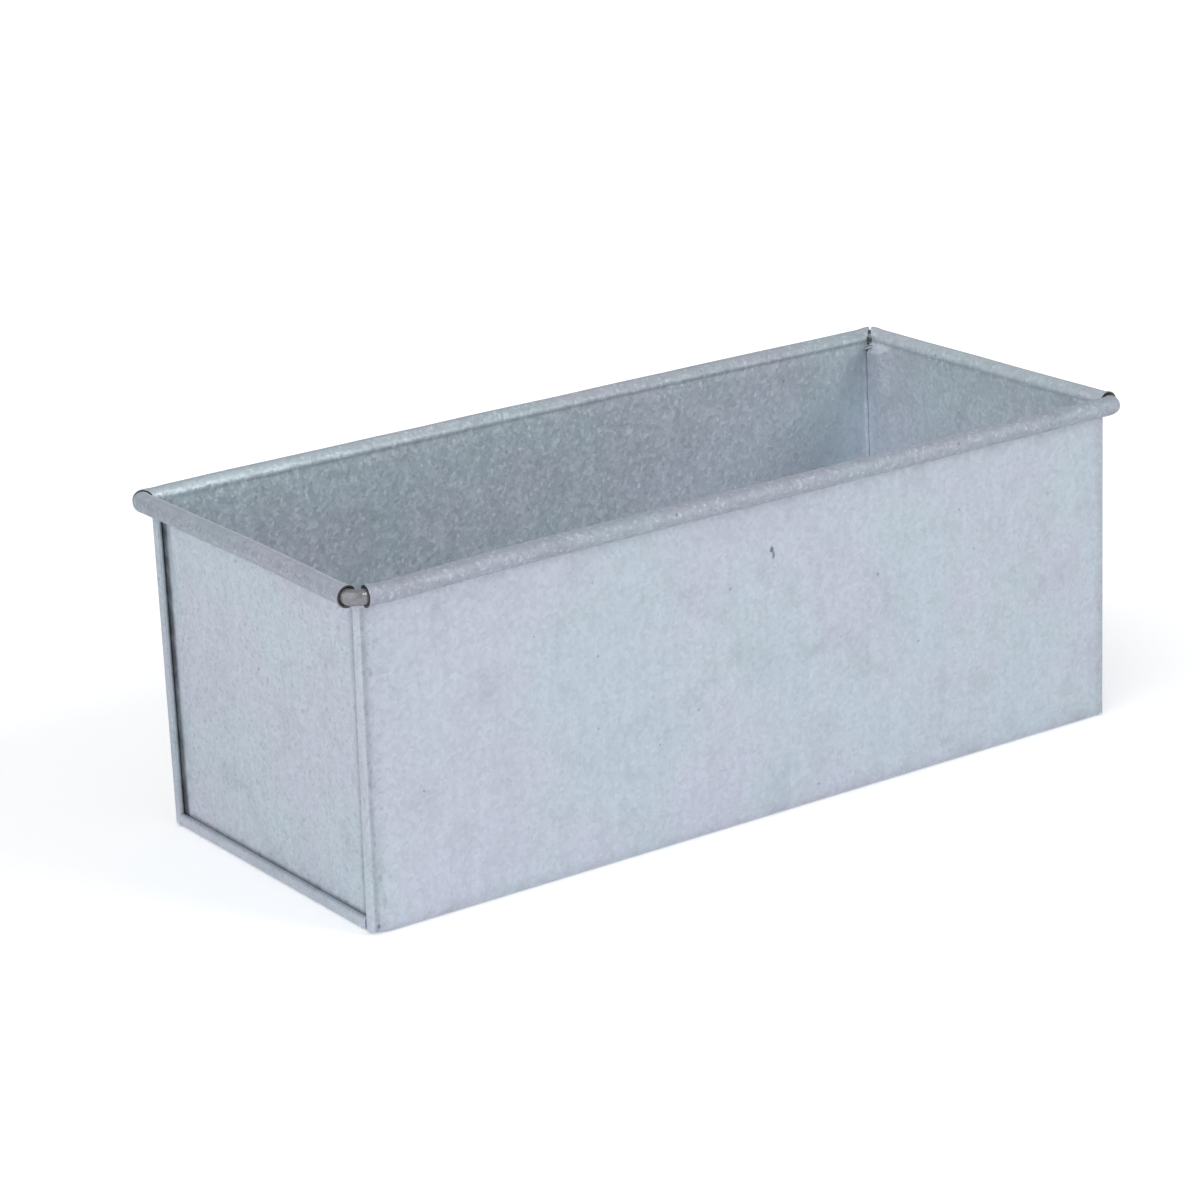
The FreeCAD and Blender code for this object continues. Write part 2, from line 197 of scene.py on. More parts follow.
def panel_section():
    """An end panel from its floor flange, round the fold, up the plate and into the curl."""
    flange = PLATE + 2 * FOLD_RADIUS
    low_part = 7 * MM
    axis = (WIRE_HALF_LENGTH, WIRE_HEIGHT)
    curl = arc(axis, CURL_RADIUS, 180 + CREASE_ANGLE, 180 - FREE_EDGE_ANGLE, CURL_STEPS)
    off_plate = (0.0, 1.1 * MM)
    onto_curl = (0.8 * MM * math.sin(CREASE_TURN), 0.8 * MM * math.cos(CREASE_TURN))
    return joined(
        run((flange, FOLD_LINE), (flange, PANEL_EDGE), HEM_SPACING),
        arc((PLATE + FOLD_RADIUS, PANEL_EDGE), FOLD_RADIUS, 0, -180, FOLD_STEPS),
        run((PLATE, PANEL_EDGE), (PLATE, FLANGE_FOOT), 0.6 * MM),
        run((PLATE, FLANGE_FOOT), (PLATE, low_part), 0.45 * MM),
        run((PLATE, low_part), (PLATE, SEAM_TOP - MM), WALL_SPACING),
        run((PLATE, SEAM_TOP - MM), (PLATE, LEAN_START), MM),
        eased((PLATE, LEAN_START), off_plate, curl[0], onto_curl, EASE_STEPS),
        curl,
    )


def panel_flange():
    """An end panel's side flange beyond its plate: how far out, and how far forward of the plate."""
    return joined(
        arc((0.0, -FOLD_RADIUS), FOLD_RADIUS, 90, -90, FOLD_STEPS),
        run((0.0, -2 * FOLD_RADIUS), (PANEL_EDGE - FOLD_LINE, -2 * FOLD_RADIUS), HEM_SPACING),
    )


# ---------------------------------------------------------------- flat blanks

def wrapper_has_sheet(along, across, height):
    """Whether the wrapper's blank reaches this far from the middle where its section passes here."""
    if along < LONG_CURL_END:
        return True
    below_curl = height < CORNER_TOP and abs(across) < HALF_WIDTH
    if along < STRAIGHT_WALL:
        return below_curl
    return below_curl and height > FLANGE_FOOT or abs(across) < FLOOR_SEAM_HALF


def panel_has_sheet(along, outward, height):
    """Whether an end panel's blank reaches this far from the middle where its section passes here."""
    if height < FOLD_LINE and (outward > PLATE + TOLERANCE or height < PANEL_EDGE):
        return along < FLOOR_SEAM_HALF
    if along < END_CURL_END:
        return True
    below_curl = outward < WIRE_HALF_LENGTH - 2 * MM
    if along < PANEL_HALF:
        return below_curl and height < CORNER_TOP
    return below_curl and FLANGE_FOOT < height < SEAM_TOP


def lines_across(stretches, hem):
    """Where the lines ruled across a blank lie, on both sides of its middle: each stretch runs up to its
    border at its own spacing, and the hem's lines follow the last."""
    lines = [0.0]
    for border, spacing in stretches:
        lines.extend(point[0] for point in run((lines[-1], 0.0), (border, 0.0), spacing)[1:])
    lines.extend(border + step for step in rulings(hem)[1:])
    return np.array([-line for line in reversed(lines[1:])] + lines)


def cut_blank(name, section, lines, has_sheet, tab_start=None, tab_drop=0.0):
    """The flat blank: x runs along the pan and y along the section. The upright tabs may run on past
    the wall, at height tab_start, by tab_drop; that length is kept in z."""
    rows = rulings(section)
    columns = range(len(lines) - 1)
    middles = [abs(lines[column] + lines[column + 1]) / 2 for column in columns]
    corners = {}
    faces = []

    def corner(column, row, drop=0.0):
        return corners.setdefault((column, row, drop), len(corners))

    for row, (first, second) in enumerate(zip(section, section[1:])):
        across, height = (first[0] + second[0]) / 2, (first[1] + second[1]) / 2
        for column in columns:
            if has_sheet(middles[column], across, height):
                faces.append((corner(column, row), corner(column + 1, row),
                              corner(column + 1, row + 1), corner(column, row + 1)))
    for row, (across, height) in enumerate(section):
        if tab_start is None or abs(height - tab_start) > 0.1 * TOLERANCE:
            continue
        way = 1 if across < 0 else -1
        drop = way * tab_drop
        for column in columns:
            if middles[column] > STRAIGHT_WALL:
                tab = [corner(column, row), corner(column + 1, row),
                       corner(column + 1, row, drop), corner(column, row, drop)]
                faces.append(tab[::way])
    points = [(lines[column], rows[row], drop) for column, row, drop in corners]
    mesh = bpy.data.meshes.new(name)
    mesh.from_pydata(points, [], faces)
    blank = bpy.data.objects.new(name, mesh)
    bpy.context.scene.collection.objects.link(blank)
    return blank


def guide(name, points):
    """A line to fold or sweep along."""
    curve = bpy.data.curves.new(name, "CURVE")
    curve.dimensions = "3D"
    spline = curve.splines.new("POLY")
    spline.points.add(len(points) - 1)
    for place, point in zip(spline.points, points):
        place.co = (*point, 1.0)
    line = bpy.data.objects.new(name, curve)
    bpy.context.scene.collection.objects.link(line)
    return line


# ---------------------------------------------------------------- node trees

def add(tree, kind, inputs=None, **settings):
    """A new node. Each input gets a value, or is linked to another node's output."""
    made = tree.nodes.new(kind)
    for name, value in settings.items():
        setattr(made, name, value)
    for key, value in (inputs or {}).items():
        if isinstance(value, bpy.types.NodeSocket):
            tree.links.new(value, made.inputs[key])
        else:
            made.inputs[key].default_value = value
    return made


def maths(tree, operation, *values):
    """The result of one sum."""
    return add(tree, "ShaderNodeMath", dict(enumerate(values)), operation=operation).outputs[0]


def vectors(tree, operation, *values, output=0):
    """The result of one vector sum."""
    made = add(tree, "ShaderNodeVectorMath", dict(enumerate(values)), operation=operation)
    return made.outputs[output]


def scaled(tree, vector, factor):
    """A vector times a number."""
    return add(tree, "ShaderNodeVectorMath", {0: vector, "Scale": factor}, operation="SCALE").outputs[0]


def new_geometry_tree(name, inputs):
    """An empty tree with named inputs, and its first and last node."""
    tree = bpy.data.node_groups.new(name, "GeometryNodeTree")
    tree.interface.new_socket("Geometry", in_out="INPUT", socket_type="NodeSocketGeometry")
    for label, kind in inputs:
        tree.interface.new_socket(label, in_out="INPUT", socket_type=f"NodeSocket{kind}")
    tree.interface.new_socket("Geometry", in_out="OUTPUT", socket_type="NodeSocketGeometry")
    return tree, tree.nodes.new("NodeGroupInput"), tree.nodes.new("NodeGroupOutput")


def finish_tree(tree, given, last, geometry):
    """Make the result real, give it its material, and hand it on."""
    real = add(tree, "GeometryNodeRealizeInstances", {"Geometry": geometry}).outputs[0]
    finish = {"Geometry": real, "Material": given.outputs["Finish"]}
    tree.links.new(add(tree, "GeometryNodeSetMaterial", finish).outputs[0], last.inputs["Geometry"])


def folding_tree():
    """Folds a flat blank: along its section first, then its ends along the hem."""
    inputs = [("Section", "Object"), ("Hem", "Object"), ("Straight", "Float"), ("Turn", "Float"),
              ("Finish", "Material")]
    tree, given, last = new_geometry_tree("fold_blank", inputs)
    flat = add(tree, "GeometryNodeInputPosition").outputs[0]
    place = add(tree, "ShaderNodeSeparateXYZ", {0: flat})
    along = maths(tree, "ABSOLUTE", place.outputs["X"])
    beyond = maths(tree, "MAXIMUM", maths(tree, "SUBTRACT", along, given.outputs["Straight"]), 0.0)

    section = add(tree, "GeometryNodeObjectInfo", {"Object": given.outputs["Section"]})
    hem = add(tree, "GeometryNodeObjectInfo", {"Object": given.outputs["Hem"]})
    on_section = add(tree, "GeometryNodeSampleCurve",
                     {"Curves": section.outputs["Geometry"], "Length": place.outputs["Y"]}, mode="LENGTH")
    on_hem = add(tree, "GeometryNodeSampleCurve",
                 {"Curves": hem.outputs["Geometry"], "Length": beyond}, mode="LENGTH")
    hem_place = add(tree, "ShaderNodeSeparateXYZ", {0: on_hem.outputs["Position"]})

    length = maths(tree, "MINIMUM", along, given.outputs["Straight"])
    reach = maths(tree, "ADD", length, hem_place.outputs["X"])
    side = maths(tree, "SIGN", place.outputs["X"])
    lengthwise = add(tree, "ShaderNodeCombineXYZ", {"X": maths(tree, "MULTIPLY", reach, side)})
    tangent = on_section.outputs["Tangent"]
    inward = vectors(tree, "CROSS_PRODUCT", (1.0, 0.0, 0.0), tangent)
    over = scaled(tree, inward, hem_place.outputs["Y"])
    run_on = scaled(tree, tangent, place.outputs["Z"])
    folded = vectors(tree, "ADD", lengthwise.outputs[0], on_section.outputs["Position"])
    folded = vectors(tree, "ADD", folded, vectors(tree, "ADD", over, run_on))

    shaped = add(tree, "GeometryNodeSetPosition",
                 {"Geometry": given.outputs["Geometry"], "Position": folded})
    turn = add(tree, "ShaderNodeCombineXYZ", {"Z": given.outputs["Turn"]}).outputs[0]
    turned = add(tree, "GeometryNodeTransform", {"Geometry": shaped.outputs[0], "Rotation": turn})
    finish_tree(tree, given, last, turned.outputs[0])
    return tree


def sweeping_tree():
    """Sweeps a round wire along a path whose corners it rounds first."""
    inputs = [("Radius", "Float"), ("Bend", "Float"), ("Spacing", "Float"), ("Finish", "Material")]
    tree, given, last = new_geometry_tree("sweep_wire", inputs)
    bent = add(tree, "GeometryNodeFilletCurve",
               {"Curve": given.outputs["Geometry"], "Radius": given.outputs["Bend"], "Count": 24,
                "Limit Radius": False}, mode="POLY")
    ruled = add(tree, "GeometryNodeResampleCurve",
                {"Curve": bent.outputs[0], "Length": given.outputs["Spacing"]}, mode="LENGTH")
    ring = add(tree, "GeometryNodeCurvePrimitiveCircle",
               {"Resolution": 28, "Radius": given.outputs["Radius"]})
    swept = add(tree, "GeometryNodeCurveToMesh",
                {"Curve": ruled.outputs[0], "Profile Curve": ring.outputs["Curve"], "Fill Caps": True})
    finish_tree(tree, given, last, swept.outputs[0])
    return tree


def made_by(tree, start, **values):
    """The mesh that a tree makes from a starting object; the start is used up."""
    modifier = start.modifiers.new("made", "NODES")
    modifier.node_group = tree
    for item in tree.interface.items_tree:
        if item.in_out == "INPUT" and item.name in values:
            modifier[item.identifier] = values[item.name]
    ready = start.evaluated_get(bpy.context.evaluated_depsgraph_get())
    mesh = bpy.data.meshes.new_from_object(ready)
    start.modifiers.remove(modifier)
    bpy.data.objects.remove(start)
    return mesh


# ---------------------------------------------------------------- hand work, wear and painted shade

# How far making and use have moved the sheet, at most.
END_SPREAD = 0.53 * MM
RIGHT_SET_OUT = 0.42 * MM
WALL_DRAW = 1.05 * MM
BACK_SET_OUT = 0.45 * MM
WALL_WAVE = 0.30 * MM
END_WAVE = 0.22 * MM
RIM_WAVE = (0.10 * MM, 0.12 * MM, 0.13 * MM)
GROOVE = 0.13 * MM
END_TREMOR = 0.05 * MM
RIGHT_LIFT = 0.15 * MM
BACK_RIGHT_DIP = 0.75 * MM
FRONT_LIFT = 0.25 * MM
NEAR_CORNER_DIP = 1.0 * MM
WORN_CORNER = 0.8 * MM


def smooth_step(value, start, end):
    """0 before start, 1 after end, and a smooth rise between them."""
    part = np.clip((value - start) / (end - start), 0.0, 1.0)
    return part * part * (3 - 2 * part)


def bump_of(value, centre, width):
    """A smooth bump, 1 at its centre."""
    return np.exp(-((value - centre) / width) ** 2)


def ripple(points, size, seed):
    """Smooth random unevenness between about -1 and 1; size is the distance between its rises."""
    shift = Vector((seed * 7.31, seed * 3.17, seed * 5.71))
    return np.array([noise.noise(Vector(point) / size + shift) for point in points])


def walls_drawn(x, y, rise):
    """How far the walls stand off square: the long ones drawn in at the floor, the ends spread there."""
    long_share, wide_share = x / HALF_LENGTH, y / HALF_WIDTH
    spread = END_SPREAD * (1 - rise) * long_share + RIGHT_SET_OUT * np.maximum(long_share, 0.0)
    draw = -WALL_DRAW * (1 - rise) * wide_share
    return spread, draw + BACK_SET_OUT * np.maximum(wide_share, 0.0) * (1 - long_share) / 2


def seams_worked(points, on_long_wall, on_end):
    """The shallow groove beside each hem on the long walls, the ends' tremor and the hems' uneven width."""
    x, y, z = points.T
    from_end, beside_wall = HALF_LENGTH - np.abs(x), HALF_WIDTH - np.abs(y)
    groove = bump_of(from_end, 3.3 * MM, 1.1 * MM) * smooth_step(-z, -SEAM_TOP, 6 * MM - SEAM_TOP)
    sideways = -np.sign(y) * GROOVE * groove * on_long_wall * (1 + 0.6 * ripple(points, 9 * MM, 6))
    tremor = END_TREMOR * ripple(points, 11 * MM, 7) * smooth_step(np.abs(x), HALF_LENGTH - MM, HALF_LENGTH)
    rise = np.clip(z / WIRE_HEIGHT, 0.0, 1.1)
    widening = np.where(y < 0, 0.22 - 0.38 * rise, -0.16)
    hem = np.minimum(beside_wall, SEAM_WIDTH) * (1 - smooth_step(beside_wall, SEAM_WIDTH, 4 * SEAM_WIDTH))
    return tremor, sideways - np.sign(y) * widening * hem * (x < 0) * on_end


def from_near_corner(x, y):
    """How far a place is from the upright line where the near long wall meets the left end."""
    return np.hypot(x + HALF_LENGTH, y + HALF_WIDTH)


def rim_lifted(x, y):
    """How far the rim rises or dips, most of all at its corners."""
    to_right, to_back = (1 + x / HALF_LENGTH) / 2, (1 + y / HALF_WIDTH) / 2
    dips = RIGHT_LIFT * to_right ** 2 * (1 - to_back) - BACK_RIGHT_DIP * to_right ** 2 * to_back
    near_corner = bump_of(from_near_corner(x, y), 0.0, 30 * MM)
    return dips + FRONT_LIFT * (1 - to_back) - NEAR_CORNER_DIP * near_corner


def hand_worked(points):
    """The pan's own unevenness. Layers that touch move together, so it depends on the place alone."""
    x, y, z = points.T
    rise = np.clip(z / WIRE_HEIGHT, 0.0, 1.1)
    middle_x = np.cos(np.clip(x / HALF_LENGTH, -1, 1) * math.pi / 2)
    middle_y = np.cos(np.clip(y / HALF_WIDTH, -1, 1) * math.pi / 2)
    middle_z = np.sin(np.clip(rise, 0, 1) * math.pi)
    on_long_wall = smooth_step(np.abs(y), HALF_WIDTH - 8 * MM, HALF_WIDTH - 2 * MM)
    on_end = smooth_step(np.abs(x), HALF_LENGTH - 8 * MM, HALF_LENGTH - 3 * MM)
    on_rim = smooth_step(z, WIRE_HEIGHT - 5 * MM, WIRE_HEIGHT - 2 * MM)

    out_x, out_y = walls_drawn(x, y, rise)
    seam_x, seam_y = seams_worked(points, on_long_wall, on_end)
    out_x = out_x + seam_x + END_WAVE * ripple(points, 45 * MM, 2) * on_end * middle_y * middle_z
    out_y = out_y + seam_y + WALL_WAVE * ripple(points, 60 * MM, 1) * on_long_wall * middle_x * middle_z
    out_x = out_x + RIM_WAVE[0] * ripple(points, 20 * MM, 5) * on_rim * middle_y
    out_y = out_y + RIM_WAVE[1] * ripple(points, 20 * MM, 4) * on_rim * middle_x
    up = RIM_WAVE[2] * ripple(points, 24 * MM, 3) * on_rim + rim_lifted(x, y) * smooth_step(rise, 0.5, 1.0)
    worn = bump_of(from_near_corner(x, y), 0.0, 3.5 * MM) * (1 - smooth_step(z, 0.0, 12 * MM))
    up = up + WORN_CORNER * worn
    return points + np.column_stack([out_x, out_y, up])


# How much further each curl runs on round the wire's corner than its setback, and how far its end
# stands open, in millimetres: the corner's sides, then the long wall's curl and the end panel's.
CURL_ENDS = [
    ((-1, -1), (0.4, 0.30), (0.4, 0.30)),
    ((-1, 1), (3.5, 0.35), (1.9, 0.10)),
    ((1, 1), (2.8, 0.45), (2.8, 0.45)),
    ((1, -1), (2.4, 0.0), (0.4, 0.30)),
]


def curl_ends_worked(points):
    """Runs each curl on round its corner and opens its end a little. Sheets only: not the wire."""
    worked = points.copy()
    ends = (LONG_CURL_END, END_CURL_END)
    halves = (WIRE_HALF_LENGTH, WIRE_HALF_WIDTH)
    for sides, *curls in CURL_ENDS:
        for axis, (reach, opening) in enumerate(curls):
            other, end = 1 - axis, ends[axis]
            along, outward = points[:, axis] * sides[axis], points[:, other] * sides[other]
            out, up = outward - halves[other], points[:, 2] - WIRE_HEIGHT
            radius = np.hypot(out, up)
            turned = np.degrees(np.arctan2(up, -out)) % 360
            free = smooth_step(np.where(turned > 330, 0.0, turned), 5.0, 70.0)
            in_reach = (along > end - CURL_WORKED) & (along < end + TOLERANCE)
            chosen = in_reach & (radius < CURL_OUTER + 0.3 * MM)
            opened = opening * MM * free * smooth_step(along, end - 3 * MM, end)
            spread = 1 + opened / np.maximum(radius, MM)
            out, up = out * spread, up * spread
            run_on = along + reach * MM * free * smooth_step(along, end - 8 * MM, end)
            straight = np.minimum(run_on, halves[axis] - WIRE_BEND)
            angle = (run_on - straight) / WIRE_BEND
            new_along = straight + (WIRE_BEND + out) * np.sin(angle)
            new_outward = halves[other] - WIRE_BEND + (WIRE_BEND + out) * np.cos(angle)
            worked[chosen, axis] = (new_along * sides[axis])[chosen]
            worked[chosen, other] = (new_outward * sides[other])[chosen]
            worked[chosen, 2] = (WIRE_HEIGHT + up)[chosen]
    return worked


def end_top_set_out(points):
    """Sets the top of an end panel out towards its curl, and leaves a gusset beside each corner."""
    x, y, z = np.abs(points[:, 0]), np.abs(points[:, 1]), points[:, 2]
    under_curl = WIRE_HALF_LENGTH - CURL_RADIUS
    middle = 1 - smooth_step(y, PANEL_HALF - 11 * MM, PANEL_HALF - 4.5 * MM)
    target = PLATE + (under_curl - PLATE) * smooth_step(z, 58 * MM, SEAM_TOP + MM) * middle
    upper_part = (z > 55 * MM) & (z < WIRE_HEIGHT) & (y < PANEL_HALF)
    on_plate = upper_part & (x > PLATE - TOLERANCE) & (x < under_curl)
    worked = points.copy()
    worked[:, 0] = np.where(on_plate, np.maximum(x, target) * np.sign(points[:, 0]), points[:, 0])
    return worked


def curl_dulling_and_painted_light(points):
    """How dull the zinc has gone on the curls, up to 1, with painted shade on their undersides and shoulders
    and in the crease below them on the inside. Below 0 it is a painted highlight, brighter than new sheet,
    as up the inside corner at the back and on the back curl's left shoulder."""
    x, y, z = points.T
    to_left = (1 - x / HALF_LENGTH) / 2
    # Per curl: top is the dulled zinc; under is painted shade on the underside, inner and outer are painted
    # shade on the shoulders, dimming their highlights.
    end_curl = {"out": np.abs(x) - WIRE_HALF_LENGTH, "top": np.where(x < 0, 0.14, 0.06),
                "under": 0.52, "under_start": 110, "inner": np.where(x > 0, 0.30, 0.0), "outer": 0.0}
    # The back curl's inner shoulder: painted shade at the right end, a painted highlight (below 0) at the
    # left end.
    back_inner_shade_and_highlight = 0.42 - 0.54 * to_left ** 2
    wall_curl = {"out": np.abs(y) - WIRE_HALF_WIDTH, "top": 0.36, "under": 0.26, "under_start": 150,
                 "inner": np.where(y > 0, back_inner_shade_and_highlight, 0.0), "outer": np.where(y < 0, 0.18, 0.0)}
    dull = np.zeros(len(points))
    for curl in (end_curl, wall_curl):
        out, up = curl["out"], z - WIRE_HEIGHT
        turned = np.degrees(np.arctan2(up, -out)) % 360
        turned = np.where(turned > 315, turned - 360, turned)
        in_curl = smooth_step(-np.hypot(out, up), -CURL_OUTER - 1.2 * MM, -CURL_OUTER)
        over = curl["top"] * smooth_step(turned, 0, 40)
        over = over + curl["under"] * smooth_step(turned, curl["under_start"], curl["under_start"] + 50)
        over = over + curl["inner"] * bump_of(turned, 38, 34) + curl["outer"] * bump_of(turned, 135, 34)
        # Painted shade in the crease below the curl on the inside.
        crease_shade = 0.8 * bump_of(turned, -12, 13)
        dull = np.maximum(dull, in_curl * np.maximum(over, crease_shade))
        # A curl's painted tone below 0 is a painted highlight.
        dull = np.where((in_curl > 0.5) & (over < 0), over, dull)
    # A painted highlight: a 1.3 mm strip of the back wall up its inside corner with the right end.
    beside_panel = (x > PLATE - HALF_SHEET - 1.3 * MM) & (x < PLATE + HALF_SHEET)
    painted_corner_highlight = beside_panel & (y > HALF_WIDTH - SHEET) & (z < SEAM_TOP - 2 * MM)
    return np.clip(np.where(painted_corner_highlight, -0.5, dull), -0.5, 1.0)


def seam_dirt_and_shade(points):
    """How dark each seam is painted, 0 to 1: painted shade in the crevice on the plate beside the hem, on
    the hem's own free edge, and on the long walls beside the corners; some hem strips are a little darker
    all over, and the long walls are darker along the floor."""
    x, y, z = np.abs(points[:, 0]), np.abs(points[:, 1]), points[:, 2]
    far_seam = points[:, 1] > 0
    outer_face = PLATE + HALF_SHEET
    upright, from_end = HALF_WIDTH - y, HALF_LENGTH - x
    on_plate = (x > outer_face - SHEET - 0.1 * MM) & (x < outer_face) & (upright > MM) & (z > MM)
    on_hem = (x > HALF_LENGTH - FOLD_OUTER) & (z < CORNER_TOP + 0.1 * MM)
    upright_seam = {"rise": upright, "other": z, "reach": np.where(far_seam, 3.4 * MM, 4.6 * MM),
                    "strength": np.where(far_seam, 1.0, 0.50), "all_over": np.where(far_seam, 0.13, 0.0)}
    floor_seam = {"rise": z, "other": upright, "reach": 1.0 * MM, "strength": 0.30, "all_over": 0.07}
    dirt_and_shade = np.zeros(len(points))
    for seam in (upright_seam, floor_seam):
        rise, reach, strength = seam["rise"], seam["reach"], seam["strength"]
        # Painted shade in the crevice on the plate beside the hem.
        crevice_shade = 1 - smooth_step(rise, SEAM_WIDTH + 0.35 * reach, SEAM_WIDTH + reach)
        dirt_and_shade = np.where(on_plate, np.maximum(dirt_and_shade, strength * crevice_shade), dirt_and_shade)
        # Painted shade on the hem's own free edge, and some hem strips darker all over.
        edge = smooth_step(rise, SEAM_WIDTH - 0.6 * MM, SEAM_WIDTH - 0.1 * MM)
        along_edge = on_hem & (rise < SEAM_WIDTH + 0.1 * MM) & (seam["other"] > SEAM_WIDTH + 0.4 * MM)
        dirt_and_shade = np.where(along_edge, np.maximum(dirt_and_shade, np.maximum(strength * edge, seam["all_over"])), dirt_and_shade)
    # Painted shade on the long walls beside the corners with the ends, and darker along the floor.
    left_corner_shade = 0.32 * bump_of(from_end, 1.1 * MM, 0.8 * MM) + 0.10 * bump_of(from_end, 2.6 * MM, 1.5 * MM)
    right_corner_shade = 0.20 * bump_of(from_end, 0.8 * MM, 2.6 * MM)
    low = 0.13 * (1 - smooth_step(z, 1.0 * MM, 4.0 * MM))
    wall_shade = np.where(points[:, 0] < 0, left_corner_shade, right_corner_shade) + low
    return np.clip(np.where((upright < SHEET) & (z < SEAM_TOP), wall_shade, dirt_and_shade), 0.0, 1.0)


def places_of(mesh):
    """Where a mesh's points are, one row each."""
    points = np.empty(len(mesh.vertices) * 3)
    mesh.vertices.foreach_get("co", points)
    return points.reshape(-1, 3)


def mark_wear_and_shade(mesh):
    """Note on each point of a folded sheet how dull it is, with painted shade and highlight, and how much
    dirt and painted shade its seams hold.
    """
    points = places_of(mesh)
    for name, wear_and_painted_light in (("dulling_and_painted_light", curl_dulling_and_painted_light(points)), ("seam_dirt_and_shade", seam_dirt_and_shade(points))):
        mesh.attributes.new(name, "FLOAT", "POINT").data.foreach_set("value", wear_and_painted_light)


def reshape(mesh, *ways):
    """Move a mesh's points."""
    points = places_of(mesh)
    for way in ways:
        points = way(points)
    mesh.vertices.foreach_set("co", points.ravel())
    mesh.update()


# ---------------------------------------------------------------- finishes

def new_finish(name):
    """An empty material with its tree, shader and Object coordinates."""
    material = bpy.data.materials.new(name)
    material.use_nodes = True
    tree = material.node_tree
    shader = tree.nodes["Principled BSDF"]
    place = tree.nodes.new("ShaderNodeTexCoord").outputs["Object"]
    return material, tree, shader, place


def blended(tree, kind, share, first, second):
    """Two colours mixed."""
    made = add(tree, "ShaderNodeMix", data_type="RGBA", blend_type=kind)
    for socket, value in ((made.inputs["Factor"], share), (made.inputs[6], first), (made.inputs[7], second)):
        if isinstance(value, bpy.types.NodeSocket):
            tree.links.new(value, socket)
        else:
            socket.default_value = value
    return made.outputs[2]


def ranged(tree, value, low, high, new_low, new_high, smooth=False):
    """A value moved from one range to another, and held inside it."""
    kind = "SMOOTHSTEP" if smooth else "LINEAR"
    sockets = {"Value": value, "From Min": low, "From Max": high, "To Min": new_low, "To Max": new_high}
    return add(tree, "ShaderNodeMapRange", sockets, interpolation_type=kind).outputs[0]


def cloud(tree, place, size, detail=2.0, roughness=0.5):
    """Soft noise with features of about the given size."""
    sockets = {"Vector": place, "Scale": 1 / size, "Detail": detail, "Roughness": roughness}
    return add(tree, "ShaderNodeTexNoise", sockets)


def own(tree, name):
    """A number that the piece carries on its points."""
    return add(tree, "ShaderNodeAttribute", attribute_name=name).outputs["Fac"]


def combined(tree, operation, first, *others):
    """Several numbers summed or multiplied, one after another."""
    for other in others:
        first = maths(tree, operation, first, other)
    return first


def stretched(tree, place, scale):
    """Coordinates scaled differently along each axis, which draws a pattern out along one."""
    return add(tree, "ShaderNodeMapping", {"Vector": place, "Scale": scale}).outputs[0]


CRYSTAL = 1.2 * MM
GRAIN = 0.6 * MM
# Inside the pan the sheet is painted a little greener and lighter: painted light.
INSIDE_PAINTED_TINT = (0.995, 1.0, 0.955, 1)
INSIDE_PAINTED_LIGHT = 0.24

# Small marks on the long wall: where each is, its size, and how much of the zinc's tone it leaves.
MARKS = [
    ((6.2 * MM, -54.4 * MM, 79.9 * MM), (0.75 * MM, 2.4 * MM, 1.1 * MM), 0.35),
    ((6.8 * MM, -54.4 * MM, 78.3 * MM), (0.5 * MM, 2.4 * MM, 1.5 * MM), 0.45),
    ((21.5 * MM, -54.4 * MM, 46.6 * MM), (5.0 * MM, 2.4 * MM, 3.2 * MM), 0.93),
    ((-125.4 * MM, -54.4 * MM, 9.8 * MM), (0.9 * MM, 2.4 * MM, 3.0 * MM), 0.86),
    ((-126.5 * MM, -54.4 * MM, 16.7 * MM), (1.2 * MM, 2.4 * MM, 1.4 * MM), 0.84),
    ((-123.8 * MM, -54.4 * MM, 83.3 * MM), (1.4 * MM, 2.4 * MM, 1.0 * MM), 0.84),
    ((-125.9 * MM, -54.4 * MM, 75.0 * MM), (0.8 * MM, 2.4 * MM, 1.6 * MM), 0.82),
    ((-127.6 * MM, -54.4 * MM, 3.1 * MM), (0.6 * MM, 2.4 * MM, 0.9 * MM), 0.45),
]


def zinc_tone(tree, place, uneven, crystal_shade, grain_shade, dull):
    """How light the zinc is: crystals, grains, smudges, faint upright streaks, specks, the curls' dullness
    with painted shade and highlight, and painted glints on the curls."""
    crystal_tone = ranged(tree, crystal_shade, 0.0, 1.0, 0.93, 1.05)
    grain_tone = ranged(tree, grain_shade, 0.0, 1.0, 0.97, 1.03)
    smudges = cloud(tree, place, 14 * MM, 5.0, 0.62).outputs["Fac"]
    smudge_tone = ranged(tree, smudges, 0.52, 0.78, 1.0, 0.86)
    streaks = cloud(tree, stretched(tree, place, (1.0, 1.0, 0.12)), 2.4 * MM, 3.0).outputs["Fac"]
    streak_tone = ranged(tree, streaks, 0.3, 0.8, 1.02, 0.95)
    specks = add(tree, "ShaderNodeTexVoronoi", {"Vector": uneven, "Scale": 1 / (13 * MM)})
    speck_tone = ranged(tree, specks.outputs["Distance"], 0.02, 0.045, 0.62, 1.0)
    # The curls' dulled zinc with painted shade, and painted highlight where it is below 0.
    dull_and_painted_light_tone = ranged(tree, dull, -0.5, 1.0, 1.19, 0.62)
    # Painted glints: small bright spots on the curls.
    glint_noise = cloud(tree, place, 1.3 * MM, 2.0).outputs["Fac"]
    painted_glint = ranged(tree, glint_noise, 0.56, 0.68, 0.0, 0.26, smooth=True)
    painted_glint = maths(tree, "MULTIPLY", painted_glint, ranged(tree, dull, 0.15, 0.4, 0.0, 1.0))
    painted_glint_tone = maths(tree, "ADD", painted_glint, 0.985)
    return combined(tree, "MULTIPLY", crystal_tone, grain_tone, smudge_tone, streak_tone, speck_tone,
                    dull_and_painted_light_tone, painted_glint_tone)


